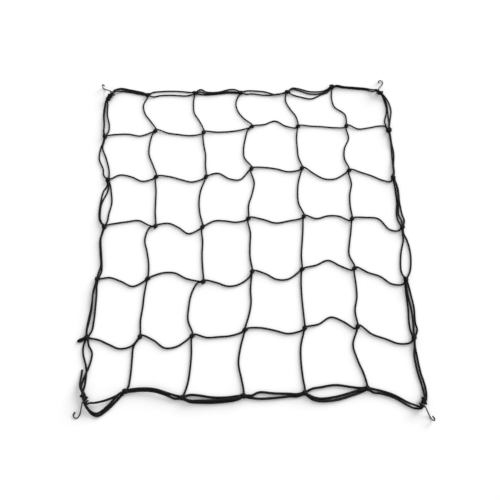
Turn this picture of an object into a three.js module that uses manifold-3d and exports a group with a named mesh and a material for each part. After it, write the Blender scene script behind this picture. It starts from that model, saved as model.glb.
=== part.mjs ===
import * as THREE from "three";
import { mergeVertices } from "three/addons/utils/BufferGeometryUtils.js";
import Module from "manifold-3d";

// Millimetres, +X right, +Y away, +Z up; the net lies on the plane z = 0.
// The middle of the bounding box is over the origin.
const columnPitch = 100;
const rowPitch = 108;
const lastLine = 6;
const middleLine = 3;
const shiftAcross = -0.6;
const shiftAlong = -2.72;

// A round cord of 3.5 mm as a square of the same area, so that it lies flat.
const cordDiameter = 3.5;
const cordSides = 4;
const cordRest = (cordDiameter * Math.sqrt(Math.PI)) / 4;
const cordCircumradius = cordRest * Math.SQRT2;
const cordMaxTurn = THREE.MathUtils.degToRad(30);
const turnReadings = { early: 0.02, middle: 0.5, late: 0.98 };

// Knots are ridged barrels that lie along a cord pair.
const knotHeight = 7;
const knotCentre = knotHeight / 2;
const knotLength = 10.4;
const knotRidge = 4.6;
const borderKnotRidge = 5;
const largeKnotRidge = 6.3;
const largeKnots = ["far 5", "right 1"];
const knotSides = 6;
const knotTurn = 50;
const pieceGap = 0.55;
const joinTolerance = 0.08;
const weldTolerance = 1e-4;

// The outline of half a barrel: shares of its ridge radius and of its half length.
const barrelOutline = [
  { radius: 0, along: -1 },
  { radius: 0.8, along: -1 },
  { radius: 1, along: -0.45 },
  { radius: 0.86, along: 0 },
  { radius: 1, along: 0.45 },
  { radius: 0.8, along: 1 },
  { radius: 0, along: 1 },
];

// The two cords of a pair leave a knot side by side.
const pairHalfSpacing = 1.9;
const upperRightArm = { across: 2, along: 3.5 };
const lowerLeftArm = { across: -3, along: -5 };
const exitHeight = 2.9;
const edgeHeight = 2.6;
const innerStations = [0.25, 0.5, 0.75];

// Border cords of the corner bundles pass through the eyes of the hooks.
const eyeHeight = 7;
const bundleRadius = 2.05;
const bundleAngles = { outer: 330, inner: 210, turn: 90 };
const bundleReaches = [-1.6, 1.6, 5];
const bundleRunHeight = 5.6;
const bundleRunStart = 4;

// The hairpin stub.
const stubKnot = 5;
const stubDirection = 202;
const stubLength = 18;
const stubHalfSpacing = 1.8;
const stubLegs = [
  { share: 0.06, height: knotCentre },
  { share: 0.45, height: exitHeight },
  { share: 0.82, height: cordRest },
];

// Hook wire of 2.2 mm, drawn as an octagon of the same area.
const wireSides = 8;
const wireCircumradius = 1.159;
const wireRest = 1.08;
const liftedWireRest = 1.17;
const eyeRadius = 5.8;
const eyeArc = 300;
const eyeSteps = 12;
const bendOffset = 26.6;
const bendSideShift = 1;
const bendRadius = 4.9;
const bendSteps = 7;
const tipLength = 2.6;
const shankRun = 3;
const shankShares = [0.5, 1];

// How far each knot lies from the even grid, row 0 far and column 0 left.
const knotDrift = [
  { across: [-3, -20, -18, -18, -16, -20, -17], along: [4, -1, 4, 5, 7, 20, 7] },
  { across: [-4, 2, 4, 6, 4, 7, -4], along: [3, 17, 13, 27, 28, 29, 18] },
  { across: [12, 10, 12, 5, 9, 6, -5], along: [8, 15, 15, 34, 35, 30, 13] },
  { across: [14, 15, 8, -1, 9, 5, 3], along: [12, 13, 11, 30, 34, 29, 11] },
  { across: [11, 7, 13, 6, 2, 3, -1], along: [11, 12, 6, 26, 31, 33, 11] },
  { across: [3, 0, -4, -7, 3, 1, 3], along: [6, 8, 10, 21, 24, 27, 6] },
  { across: [10, -19, -18, -9, -1, 11, 6], along: [-1, 18, 7, 10, 15, 23, -8] },
];

// How far a cord that runs across lies beyond the straight line between its knots, at a
// quarter, half and three quarters of each span from the left, and how it leaves its first
// border knot and comes to its last.
const acrossCords = [
  {
    row: 1,
    early: [3, -5, -3, 5, 0, -6],
    middle: [1, -6, -4, 15, 0, 0],
    late: [-6, -6, -3, 4, -1, 8],
    first: { across: 9, along: 3 },
    last: { across: -8, along: 10 },
  },
  {
    row: 2,
    early: [11, 0, 3, 2, -12, -2],
    middle: [6, -5, -13, 0, -21, -5],
    late: [-5, -9, -18, -5, -18, -10],
    first: { across: 7, along: 3 },
    last: { across: -6, along: -9 },
  },
  {
    row: 3,
    early: [7, 6, 8, -4, -4, 6],
    middle: [10, -1, 5, -11, 5, 8],
    late: [12, -12, -1, -6, 7, -10],
    first: { across: 7, along: 4 },
    last: { across: -9, along: -8 },
  },
  {
    row: 4,
    early: [4, 11, -6, -6, 7, -5],
    middle: [-3, 13, -15, -17, 18, -7],
    late: [-12, 4, -13, -16, 8, -16],
    first: { across: 7, along: 1 },
    last: { across: -6, along: -10 },
  },
  {
    row: 5,
    early: [0, -8, -7, 2, 6, -11],
    middle: [-5, -21, -7, -2, 20, -14],
    late: [-9, -17, -6, -7, 13, -17],
    first: { across: 6, along: -1 },
    last: { across: -8, along: -9 },
  },
];

// How far a cord that runs along lies to the right of the straight line between its knots,
// at the same shares of each span from the far end.
const alongCords = [
  {
    column: 1,
    early: [-14, -9, 1, -9, -2, 1],
    middle: [-15, -12, 0, -4, -2, 3],
    late: [-7, -6, -1, 0, -3, 4],
    first: { across: -1, along: -7 },
    last: { across: 4.5, along: 7 },
  },
  {
    column: 2,
    early: [-8, 0, -8, 1, -10, 4],
    middle: [-11, 2, -10, -1, -12, 6],
    late: [-4, 0, -7, -1, -11, 6],
    first: { across: -1, along: -8 },
    last: { across: 4, along: 8 },
  },
  {
    column: 3,
    early: [-17, -8, 8, 3, 1, -7],
    middle: [-19, -13, 5, 0, 5, -10],
    late: [-12, -13, -1, -2, 4, -4],
    first: { across: -4, along: -6 },
    last: { across: 0, along: 7 },
  },
  {
    column: 4,
    early: [-10, -4, -7, 0, -2, -6],
    middle: [-6, -5, -10, -1, -2, -6],
    late: [1, -5, -9, -2, -1, -3],
    first: { across: -4, along: -7 },
    last: { across: 0.5, along: 7 },
  },
  {
    column: 5,
    early: [-8, 4, 4, -3, 2, -12],
    middle: [-10, -6, -1, -7, 2, -9],
    late: [5, -8, -2, -9, -3, -2],
    first: { across: 0.5, along: -7 },
    last: { across: -0.5, along: 8 },
  },
];

// Pairs that stay together for longer below a knot before they part.
const longPairs = [
  { row: 1, column: 1, across: -6, along: -5 },
  { row: 1, column: 3, across: -9, along: -6 },
  { row: 3, column: 1, across: -11, along: -1 },
  { row: 4, column: 2, across: -11, along: -1 },
  { row: 4, column: 3, across: -3, along: -11 },
  { row: 5, column: 1, across: -12, along: -18 },
];

// Border cords, one row a span, with offsets at an eighth, a quarter, half, three quarters
// and seven eighths. Offsets are away from the viewer on the far and near sides, to the
// right on the others.
const borderStations = [1 / 8, 1 / 4, 1 / 2, 3 / 4, 7 / 8];
const farBorder = [
  {
    outer: [9, 15, 12.5, 9, 6.5],
    inner: [3, 6.5, 6, 2.5, 1],
    turn: [6, 11, 9.5, 6, 3.5],
  },
  {
    outer: [8, 9, 9, 6.5, 4],
    inner: [-4, -1.5, -1.5, -4.5, -4.5],
  },
  {
    outer: [10.5, 4, 3.5, 10, 9.5],
    inner: [-2.5, -3.5, -1.5, 1, 0],
    turn: [4, -1, 0.5, 4, 3],
  },
  {
    outer: [6, 6, 3, -5, -2],
    inner: [-2.5, -2, -6, -6, -4],
  },
  {
    outer: [10, 7, -4, -7, -4.5],
    inner: [-9, -14.5, -23, -15, -12],
    turn: [6.5, 2, -10.5, -12.5, -8.5],
  },
  {
    outer: [5.5, 5.5, 6.5, 7, 4],
    inner: [3, 2.5, 3, 3, -1],
    turn: [4.5, 4, 5, 5, 1.5],
  },
];
const nearBorder = [
  {
    outer: [-22.5, -29, -23, -12, -6],
    inner: [-4, -6, -7, -4.5, -1.5],
    turn: [-18.5, -24.5, -18.5, -7.5, -2],
  },
  {
    outer: [1, 3.5, 5, 0.5, -3],
    inner: [5, 7.5, 9, 4.5, 2.5],
  },
  {
    outer: [-7.5, -9, -10, -8.5, -6.5],
    inner: [4.5, 3.5, -1, -1.5, 0],
    turn: [-5.5, -6, -6.5, -5, -4],
  },
  {
    outer: [-4, -6, -6, -4.5, -5],
    inner: [0, 5, 2, 0, -1.5],
  },
  {
    outer: [-12.5, -16, -15.5, -9.5, -6],
    inner: [6.5, 8, 10, 4.5, 2],
    turn: [-8, -11.5, -10, -4.5, -2],
  },
  {
    outer: [-3.5, -1, -1, -6.5, -7.5],
    inner: [2.5, 3.5, 3, -1.5, -2.5],
  },
];
const leftBorder = [
  {
    outer: [-5, -8, -8.5, -5, -4.5],
    inner: [-1, -2, -0.5, 6.5, 6.5],
    turn: [-3, -5.5, -6.5, -3.5, -3],
  },
  {
    outer: [-4.5, -10, -15, -8.5, -8.5],
    inner: [-2, -6.5, -1, 3, 3],
  },
  {
    outer: [-1, -7.5, -11.5, -12.5, -10],
    inner: [5.5, 8, 11, 6.5, 5.5],
    turn: [2, 1, -8.5, -10, -8],
  },
  {
    outer: [-3, -5, -1.5, 3, 0.5],
    inner: [-1, -3, 1, 5.5, 5.5],
  },
  {
    outer: [-3, -3.5, -2.5, -3.5, -3.5],
    inner: [1, 3, 5.5, 7, 6.5],
    turn: [-2, -3, -0.5, -1, -2],
  },
  {
    outer: [-6, -6, 1, -0.5, -1.5],
    inner: [3.5, 10, 4.5, -6, -5],
    turn: [-7, -7, -6.5, -7.5, -5],
  },
];
const rightBorder = [
  {
    outer: [12, 14.5, 16, 8.5, 4.5],
    inner: [5, 7, 6.5, -3, -3.5],
    turn: [8, 9.5, 8, 5.5, 3],
  },
  {
    outer: [3, 3.5, 6, 3.5, 3.5],
    inner: [0.5, 1.5, 2, 1.5, 1.5],
  },
  {
    outer: [4.5, 6, 4, 4.5, 6.5],
    inner: [0, 0, -1.5, -6.5, -5.5],
    turn: [3, 4, 1.5, -2.5, 1],
  },
  {
    outer: [2, 7.5, 12.5, 11.5, 8.5],
    inner: [-0.5, 0.5, -5.5, -8, -7],
  },
  {
    outer: [4, 5.5, 8, 6.5, 8],
    inner: [-2.5, -3, -3, -5, -4.5],
    turn: [-1, -1, 2.5, 2.5, 1.5],
  },
  {
    outer: [0, 1, 3.5, 9, 8],
    inner: [-1.5, -3.5, -1.5, 4, 4],
  },
];

const strands = ["outer", "inner", "turn"];
const sideSpans = { far: farBorder, near: nearBorder, left: leftBorder, right: rightBorder };
const sideOutward = { far: [0, 1], near: [0, -1], left: [-1, 0], right: [1, 0] };

// Spans where the third border cord lies on top of the other two.
const stackedSpans = ["far 2", "far 5", "left 4"];
const stackedHeight = 4.6;
const innerLift = 0.25;
const strandReach = { outer: 1.2, inner: -1.2, turn: 0 };
const turnLift = 0.6;

// The third cord's free end starts at this place of the last span of the left side.
const freeEndStart = 2;

// Corners: where the eye stands beside the corner of the grid, the way the eye faces, the
// way the hook points, its tip's side and lift, and the run of the bundle beside the eye.
const corners = [
  {
    name: "far_left", row: 0, column: 0, shift: { across: 6, along: -3 },
    eye: 143, direction: 141, tipSide: -1, lift: 78, run: 238, runLength: 16,
  },
  {
    name: "far_right", row: 0, column: 6, shift: { across: -3, along: 0.5 },
    eye: 68, direction: 68, tipSide: 1, lift: 15, run: -42, runLength: 7,
  },
  {
    name: "near_left", row: 6, column: 0, shift: { across: 2.5, along: 0.5 },
    eye: -160, direction: -121, tipSide: -1, lift: 0, run: 110, runLength: 11,
  },
  {
    name: "near_right", row: 6, column: 6, shift: { across: -2, along: 2 },
    eye: -35, direction: -57, tipSide: 1, lift: 80, run: 60, runLength: 10,
  },
];

const blackCord = { color: 0x17181a, roughness: 0.85, metalness: 0 };
const steelWire = { color: 0x5c5f62, roughness: 0.35, metalness: 1 };

const wasm = await Module();
wasm.setup();

// A path through given places. Its sections stand upright, which keeps a cord's underside
// level on the floor, or are square to the path and keep to given side vectors.
class PlacedPath extends THREE.Curve {
  constructor(places, sides) {
    super();
    this.places = places;
    this.sides = sides;
  }

  getPoint(t) {
    const index = Math.round(t * (this.places.length - 1));
    return this.places[index].clone();
  }

  getPointAt(t) {
    return this.getPoint(t);
  }

  computeFrenetFrames(steps) {
    const tangents = [];
    const normals = [];
    const binormals = [];
    for (let i = 0; i <= steps; i += 1) {
      const before = this.places[Math.max(i - 1, 0)];
      const after = this.places[Math.min(i + 1, steps)];
      const tangent = after.clone().sub(before).normalize();
      const binormal = this.sides ? this.sides[i].clone() : new THREE.Vector3(0, 0, 1);
      if (this.sides) {
        binormal.addScaledVector(tangent, -binormal.dot(tangent)).normalize();
      }
      const normal = new THREE.Vector3().crossVectors(binormal, tangent).normalize();
      tangents.push(tangent);
      normals.push(normal);
      binormals.push(binormal);
    }
    return { tangents, normals, binormals };
  }
}

// A regular section; the first corner angle sets which way its flats face.
function sectionShape(sides, circumradius, firstAngle) {
  const corners2d = [];
  for (let i = 0; i < sides; i += 1) {
    const angle = firstAngle + (i * 2 * Math.PI) / sides;
    corners2d.push(new THREE.Vector2(circumradius * Math.cos(angle), circumradius * Math.sin(angle)));
  }
  return new THREE.Shape(corners2d);
}

const cordSection = sectionShape(cordSides, cordCircumradius, Math.PI / cordSides);
const clearCircumradius = cordCircumradius + pieceGap * Math.SQRT2;
const clearSection = sectionShape(cordSides, clearCircumradius, Math.PI / cordSides);
const wireSection = sectionShape(wireSides, wireCircumradius, Math.PI / wireSides);

function sweep(section, places, sides) {
  const path = new PlacedPath(places, sides);
  return new THREE.ExtrudeGeometry(section, {
    steps: places.length - 1,
    extrudePath: path,
  });
}

// A closed mesh as a solid, without the triangles that shrink to a line when welded.
function solidFrom(geometry) {
  const bare = geometry.clone();
  bare.deleteAttribute("normal");
  bare.deleteAttribute("uv");
  const welded = mergeVertices(bare, weldTolerance);
  const index = welded.index.array;
  const kept = [];
  for (let i = 0; i < index.length; i += 3) {
    const [a, b, c] = [index[i], index[i + 1], index[i + 2]];
    if (a !== b && b !== c && c !== a) {
      kept.push(a, b, c);
    }
  }
  return new wasm.Manifold(
    new wasm.Mesh({
      numProp: 3,
      vertProperties: new Float32Array(welded.attributes.position.array),
      triVerts: new Uint32Array(kept),
    }),
  );
}

function geometryFrom(solid) {
  const mesh = solid.getMesh();
  const geometry = new THREE.BufferGeometry();
  geometry.setAttribute("position", new THREE.BufferAttribute(mesh.vertProperties, 3));
  geometry.setIndex(new THREE.BufferAttribute(mesh.triVerts, 1));
  geometry.computeVertexNormals();
  return geometry;
}

// Places along a smooth run through the controls, closer where the run turns.
function smoothRun(controls) {
  const curve = new THREE.CatmullRomCurve3(controls, false, "centripetal");
  const spans = controls.length - 1;
  const places = [controls[0].clone()];
  for (let i = 0; i < spans; i += 1) {
    const start = curve.getTangent((i + turnReadings.early) / spans);
    const middle = curve.getTangent((i + turnReadings.middle) / spans);
    const end = curve.getTangent((i + turnReadings.late) / spans);
    const turn = start.angleTo(middle) + middle.angleTo(end);
    const steps = Math.max(1, Math.round(turn / cordMaxTurn));
    for (let k = 1; k <= steps; k += 1) {
      places.push(curve.getPoint((i + k / steps) / spans));
    }
  }
  for (const place of places) {
    place.z = Math.max(place.z, cordRest);
  }
  return places;
}

function cordSolid(controls, section = cordSection) {
  return solidFrom(sweep(section, smoothRun(controls)));
}

function knotPlace(row, column) {
  const drift = knotDrift[row];
  const across = (column - middleLine) * columnPitch + drift.across[column] + shiftAcross;
  const along = (middleLine - row) * rowPitch + drift.along[column] + shiftAlong;
  return new THREE.Vector3(across, along, knotCentre);
}

// A ridged barrel that lies level along a direction, grown by a clearance when it cuts.
function knotSolid(place, direction, ridgeRadius, clearance) {
  const half = knotLength / 2 + clearance;
  const ridge = ridgeRadius + clearance;
  const profile = barrelOutline.map((row) => new THREE.Vector2(ridge * row.radius, half * row.along));
  const barrel = new THREE.LatheGeometry(profile, knotSides, Math.PI / knotSides);
  barrel.rotateZ(-Math.PI / 2);
  const flatRadius = ridge * Math.cos(Math.PI / knotSides);
  barrel.scale(1, 1, (knotHeight / 2 + clearance) / flatRadius);
  barrel.rotateZ(THREE.MathUtils.degToRad(direction));
  barrel.translate(place.x, place.y, place.z);
  return solidFrom(barrel);
}

// Where one cord of the pair leaves an inner knot, on the upper left or lower right of the pair.
function pairExit(row, column, arm, upperLeft) {
  const place = knotPlace(row, column);
  const length = Math.hypot(arm.across, arm.along);
  const sign = upperLeft ? 1 : -1;
  const flip = arm.along > 0 || arm.across > 0 ? 1 : -1;
  const sideways = (sign * flip * pairHalfSpacing) / length;
  place.x += arm.across - arm.along * sideways;
  place.y += arm.along + arm.across * sideways;
  place.z = exitHeight;
  return place;
}

function lowerLeftOf(row, column) {
  const long = longPairs.find((pair) => pair.row === row && pair.column === column);
  return long || lowerLeftArm;
}

// Places at some shares of a straight line, each moved sideways and down to rest.
function swayPlaces(start, end, stations, sways, height) {
  const run = end.clone().sub(start).setZ(0);
  const left = new THREE.Vector3(-run.y, run.x, 0).normalize();
  return sways.map((sway, i) => {
    const place = start.clone().addScaledVector(run, stations[i]);
    place.addScaledVector(left, sway);
    place.z = height;
    return place;
  });
}

// Where an inner cord starts away from a border knot.
function edgeArm(knot, arm) {
  return new THREE.Vector3(knot.x + arm.across, knot.y + arm.along, edgeHeight);
}

// One span of an inner cord; a knot's pair leaves it side by side.
function innerSpan(cord, span, knotAt, leaveAt, enterAt) {
  const start = knotAt(span);
  const end = knotAt(span + 1);
  const atStart = span === 0;
  const atEnd = span === lastLine - 1;
  const leaves = atStart ? start : leaveAt(span);
  const enters = atEnd ? end : enterAt(span + 1);
  const offsets = [cord.early[span], cord.middle[span], cord.late[span]];
  return cordSolid([
    start,
    atStart ? edgeArm(start, cord.first) : leaves,
    ...swayPlaces(leaves, enters, innerStations, offsets, cordRest),
    atEnd ? edgeArm(end, cord.last) : enters,
    end,
  ]);
}

function acrossSpan(cord, span) {
  return innerSpan(
    cord,
    span,
    (column) => knotPlace(cord.row, column),
    (column) => pairExit(cord.row, column, upperRightArm, false),
    (column) => pairExit(cord.row, column, lowerLeftOf(cord.row, column), true),
  );
}

function alongSpan(cord, span) {
  return innerSpan(
    cord,
    span,
    (row) => knotPlace(row, cord.column),
    (row) => pairExit(row, cord.column, lowerLeftOf(row, cord.column), false),
    (row) => pairExit(row, cord.column, upperRightArm, true),
  );
}

function borderKnotSolids(clearance) {
  const solids = [];
  for (const side of ["far", "near", "left", "right"]) {
    const direction = side === "far" || side === "near" ? 0 : 90;
    for (let i = 1; i < lastLine; i += 1) {
      const ridge = largeKnots.includes(`${side} ${i}`) ? largeKnotRidge : borderKnotRidge;
      solids.push(knotSolid(sideKnot(side, i), direction, ridge, clearance));
    }
  }
  return solids;
}

function meshNet() {
  const solids = [];
  for (const cord of acrossCords) {
    for (let span = 0; span < lastLine; span += 1) {
      solids.push(acrossSpan(cord, span));
    }
  }
  for (const cord of alongCords) {
    for (let span = 0; span < lastLine; span += 1) {
      solids.push(alongSpan(cord, span));
    }
  }
  for (let row = 1; row < lastLine; row += 1) {
    for (let column = 1; column < lastLine; column += 1) {
      solids.push(knotSolid(knotPlace(row, column), knotTurn, knotRidge, 0));
    }
  }
  const cutters = [...borderKnotSolids(pieceGap), ...borderStrands(clearSection)];
  const net = wasm.Manifold.union(solids).subtract(wasm.Manifold.union(cutters));
  const pieces = net.simplify(joinTolerance).decompose();
  return pieces.sort((a, b) => b.volume() - a.volume())[0];
}

function sideKnot(side, index) {
  if (side === "far") {
    return knotPlace(0, index);
  }
  if (side === "near") {
    return knotPlace(lastLine, index);
  }
  if (side === "left") {
    return knotPlace(index, 0);
  }
  return knotPlace(index, lastLine);
}

function strandHeight(side, span, strand) {
  if (strand === "turn" && stackedSpans.includes(`${side} ${span}`)) {
    return stackedHeight;
  }
  return strand === "inner" ? cordRest + innerLift : cordRest;
}

// Where a border cord crosses a knot, each cord a little to its own side.
function strandKnot(side, index, strand) {
  const place = sideKnot(side, index);
  const outward = sideOutward[side];
  place.x += outward[0] * strandReach[strand];
  place.y += outward[1] * strandReach[strand];
  place.z += strand === "turn" ? turnLift : 0;
  return place;
}

function strandSways(side, span, strand) {
  const row = sideSpans[side][span];
  if (!row[strand]) {
    return [];
  }
  return swayPlaces(
    sideKnot(side, span),
    sideKnot(side, span + 1),
    borderStations,
    row[strand],
    strandHeight(side, span, strand),
  );
}

function borderSpan(side, span, strand, section) {
  const controls = [
    strandKnot(side, span, strand),
    ...strandSways(side, span, strand),
    strandKnot(side, span + 1, strand),
  ];
  return cordSolid(controls, section);
}

function directionOf(degrees) {
  const angle = THREE.MathUtils.degToRad(degrees);
  return new THREE.Vector3(Math.cos(angle), Math.sin(angle), 0);
}

function eyePlace(corner) {
  const place = knotPlace(corner.row, corner.column).setZ(eyeHeight);
  place.x += corner.shift.across;
  place.y += corner.shift.along;
  return place;
}

// Moves a place from the middle of the bundle to one of its cords.
function toStrand(middle, outward, strand) {
  const angle = THREE.MathUtils.degToRad(bundleAngles[strand]);
  middle.addScaledVector(outward, bundleRadius * Math.cos(angle));
  middle.z += bundleRadius * Math.sin(angle);
  return middle;
}

// The places of one border cord along the bundle beside the eye, on the left or right side.
function besideEye(corner, strand) {
  const run = directionOf(corner.run);
  const outward = directionOf(corner.run + 90);
  if (outward.dot(directionOf(corner.eye)) < 0) {
    outward.negate();
  }
  const middle = toStrand(eyePlace(corner).setZ(bundleRunHeight), outward, strand);
  const reaches = [bundleRunStart + corner.runLength, bundleRunStart];
  return reaches.map((reach) => middle.clone().addScaledVector(run, reach));
}

// The places of one border cord through the eye of a corner hook, straight through its ring.
function throughEye(corner, strand, turned) {
  const along = directionOf(corner.eye - 90).multiplyScalar(turned);
  const middle = toStrand(eyePlace(corner), directionOf(corner.eye), strand);
  return bundleReaches.map((reach) => middle.clone().addScaledVector(along, reach));
}

// One border cord from the last knot of a side, round a corner, to the next side's first knot.
function cornerSpan(corner, strand, section) {
  const acrossSide = corner.row === 0 ? "far" : "near";
  const alongSide = corner.column === 0 ? "left" : "right";
  const acrossSpanIndex = corner.column === 0 ? 0 : lastLine - 1;
  const alongSpanIndex = corner.row === 0 ? 0 : lastLine - 1;
  const acrossKnot = corner.column === 0 ? 1 : lastLine - 1;
  const alongKnot = corner.row === 0 ? 1 : lastLine - 1;
  const fromKnot = strandSways(alongSide, alongSpanIndex, strand);
  const toKnot = strandSways(acrossSide, acrossSpanIndex, strand);
  if (!fromKnot.length || !toKnot.length) {
    return null;
  }
  if (corner.row === 0) {
    fromKnot.reverse();
  }
  if (corner.column !== 0) {
    toKnot.reverse();
  }
  fromKnot.pop();
  const freeEnd = corner.name === "near_left" && strand === "turn";
  const start = freeEnd
    ? fromKnot.slice(freeEndStart)
    : [strandKnot(alongSide, alongKnot, strand), ...fromKnot];
  const turned = (corner.row === 0) === (corner.column === 0) ? 1 : -1;
  const controls = [
    ...start,
    ...besideEye(corner, strand),
    ...throughEye(corner, strand, turned),
    ...toKnot,
    strandKnot(acrossSide, acrossKnot, strand),
  ];
  return cordSolid(controls, section);
}

// A short hairpin of cord that sticks out of the fifth knot of the left side.
function stubLoop(section) {
  const knot = sideKnot("left", stubKnot);
  const outward = directionOf(stubDirection);
  const sideways = directionOf(stubDirection + 90);
  const placeAt = (share, side, height) => {
    const place = knot.clone().addScaledVector(outward, stubLength * share);
    place.addScaledVector(sideways, side * stubHalfSpacing);
    place.z = height;
    return place;
  };
  const out = stubLegs.map((row) => placeAt(row.share, 1, row.height));
  const back = stubLegs.map((row) => placeAt(row.share, -1, row.height)).reverse();
  return cordSolid([...out, placeAt(1, 0, cordRest), ...back], section);
}

// Every span of the border cords and the stub, with one section.
function borderStrands(section) {
  const solids = [];
  for (const side of ["far", "near", "left", "right"]) {
    for (let span = 1; span < lastLine - 1; span += 1) {
      for (const strand of strands) {
        if (sideSpans[side][span][strand]) {
          solids.push(borderSpan(side, span, strand, section));
        }
      }
    }
  }
  for (const corner of corners) {
    for (const strand of strands) {
      const solid = cornerSpan(corner, strand, section);
      if (solid) {
        solids.push(solid);
      }
    }
  }
  solids.push(stubLoop(section));
  return solids;
}

function borderCord() {
  const solids = [...borderStrands(cordSection), ...borderKnotSolids(0)];
  return wasm.Manifold.union(solids).simplify(joinTolerance);
}

// A bent wire hook: an eye that stands round the corner bundle, a shank that comes down
// to the floor and a half-round bend with its tip lifted.
function hookGeometry(corner) {
  const centre = eyePlace(corner);
  const eyeOutward = directionOf(corner.eye);
  const eyeNormal = directionOf(corner.eye - 90);
  const outward = directionOf(corner.direction);
  const sideways = directionOf(corner.direction + 90);
  const up = new THREE.Vector3(0, 0, 1);
  const lift = THREE.MathUtils.degToRad(corner.lift);
  const towardTip = sideways.clone().multiplyScalar(corner.tipSide * Math.cos(lift));
  towardTip.addScaledVector(up, Math.sin(lift));
  const bendNormal = new THREE.Vector3().crossVectors(outward, towardTip);
  if (bendNormal.dot(eyeNormal) < 0) {
    bendNormal.negate();
  }
  const places = [];
  const normals = [];
  const addPlace = (place, normal) => {
    places.push(place);
    normals.push(normal.clone());
  };
  for (let i = 0; i <= eyeSteps; i += 1) {
    const angle = THREE.MathUtils.degToRad((-i * eyeArc) / eyeSteps);
    const place = centre.clone().addScaledVector(eyeOutward, eyeRadius * Math.cos(angle));
    addPlace(place.addScaledVector(up, eyeRadius * Math.sin(angle)), eyeNormal);
  }
  const bendCentre = centre.clone().addScaledVector(outward, bendOffset);
  bendCentre.addScaledVector(sideways, corner.tipSide * bendSideShift);
  bendCentre.z = (corner.lift ? liftedWireRest : wireRest) + bendRadius * Math.sin(lift);
  const eyeEnd = places[places.length - 1];
  const shankEnd = bendCentre.clone().addScaledVector(towardTip, -bendRadius);
  const shankStart = shankEnd.clone().addScaledVector(outward, -shankRun);
  for (const share of shankShares) {
    const normal = eyeNormal.clone().lerp(bendNormal, share).normalize();
    addPlace(eyeEnd.clone().lerp(shankStart, share), normal);
  }
  for (let i = 0; i <= bendSteps; i += 1) {
    const angle = (i * Math.PI) / bendSteps;
    const place = bendCentre.clone().addScaledVector(towardTip, -bendRadius * Math.cos(angle));
    addPlace(place.addScaledVector(outward, bendRadius * Math.sin(angle)), bendNormal);
  }
  const tip = bendCentre.clone().addScaledVector(towardTip, bendRadius);
  addPlace(tip.addScaledVector(outward, -tipLength), bendNormal);
  return sweep(wireSection, places, normals);
}

function named(name, geometry, look) {
  const mesh = new THREE.Mesh(geometry, new THREE.MeshStandardMaterial(look));
  mesh.name = name;
  return mesh;
}

const group = new THREE.Group();
group.name = "trellis_net";
group.add(named("mesh_net", geometryFrom(meshNet()), blackCord));
group.add(named("border_cord", geometryFrom(borderCord()), blackCord));
for (const corner of corners) {
  group.add(named(`hook_${corner.name}`, hookGeometry(corner), steelWire));
}

export default group;
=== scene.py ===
from math import cos, hypot, pi, radians, sin, sqrt, tan

import bmesh
import bpy
from mathutils import Matrix, Vector


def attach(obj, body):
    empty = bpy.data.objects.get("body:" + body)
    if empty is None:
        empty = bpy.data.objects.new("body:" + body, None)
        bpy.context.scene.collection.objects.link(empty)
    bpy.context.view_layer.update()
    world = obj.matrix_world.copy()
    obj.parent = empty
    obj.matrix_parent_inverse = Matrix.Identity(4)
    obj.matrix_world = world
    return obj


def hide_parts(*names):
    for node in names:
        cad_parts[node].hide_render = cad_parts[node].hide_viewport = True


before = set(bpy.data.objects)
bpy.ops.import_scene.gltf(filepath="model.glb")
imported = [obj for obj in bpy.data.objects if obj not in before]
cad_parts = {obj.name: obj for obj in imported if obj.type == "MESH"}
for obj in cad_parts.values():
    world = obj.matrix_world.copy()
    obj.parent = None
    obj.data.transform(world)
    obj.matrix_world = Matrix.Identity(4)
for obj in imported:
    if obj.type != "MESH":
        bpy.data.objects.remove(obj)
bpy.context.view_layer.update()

print("stage: frame loaded")

# Everything is laid out in millimetres and scaled to metres when a piece is finished.
mm = 0.001
up = Vector((0, 0, 1))

view = {
    "elevation": 69,
    "height": 1020.17,
    "target": (1.4, -39.24),
    "focalPixels": 560.4,
    "framePixels": 500,
    "sensor": 36,
    "clipEnd": 20,
}

lighting = {
    "sky": 0.8,
    "sun": 3.7,
    "sunAngle": 38,
    "sunFrom": (1, 1.05, 0.52),
    "floorSide": 8,
    "floorShade": 0.86,
    "floorRoughness": 0.9,
    "floorGloss": 0.1,
}

scene = bpy.context.scene


def makeCamera():
    lens = bpy.data.cameras.new("camera")
    lens.sensor_width = view["sensor"]
    lens.lens = view["focalPixels"] * view["sensor"] / view["framePixels"]
    lens.clip_end = view["clipEnd"]
    camera = bpy.data.objects.new("camera", lens)
    scene.collection.objects.link(camera)
    back = view["height"] / tan(radians(view["elevation"]))
    across, along = view["target"]
    camera.location = Vector((across, along - back, view["height"])) * mm
    camera.rotation_euler = (radians(90 - view["elevation"]), 0, 0)
    scene.camera = camera


def makeLight():
    world = bpy.data.worlds.new("studio")
    scene.world = world
    world.use_nodes = True
    background = world.node_tree.nodes["Background"]
    background.inputs["Color"].default_value = (1, 1, 1, 1)
    background.inputs["Strength"].default_value = lighting["sky"]
    lamp = bpy.data.lights.new("softSun", "SUN")
    lamp.energy = lighting["sun"]
    lamp.angle = radians(lighting["sunAngle"])
    sun = bpy.data.objects.new("softSun", lamp)
    sun.rotation_euler = Vector(lighting["sunFrom"]).to_track_quat("Z", "Y").to_euler()
    scene.collection.objects.link(sun)
    scene.view_settings.view_transform = "Standard"


def makeFloor():
    bm = bmesh.new()
    bmesh.ops.create_grid(bm, x_segments=1, y_segments=1, size=lighting["floorSide"] / 2)
    mesh = bpy.data.meshes.new("floor")
    bm.to_mesh(mesh)
    bm.free()
    floor = bpy.data.objects.new("floor", mesh)
    scene.collection.objects.link(floor)
    material = bpy.data.materials.new("whiteFloor")
    material.use_nodes = True
    shader = material.node_tree.nodes["Principled BSDF"]
    shade = lighting["floorShade"]
    shader.inputs["Base Color"].default_value = (shade, shade, shade, 1)
    shader.inputs["Roughness"].default_value = lighting["floorRoughness"]
    shader.inputs["Specular IOR Level"].default_value = lighting["floorGloss"]
    mesh.materials.append(material)


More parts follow.
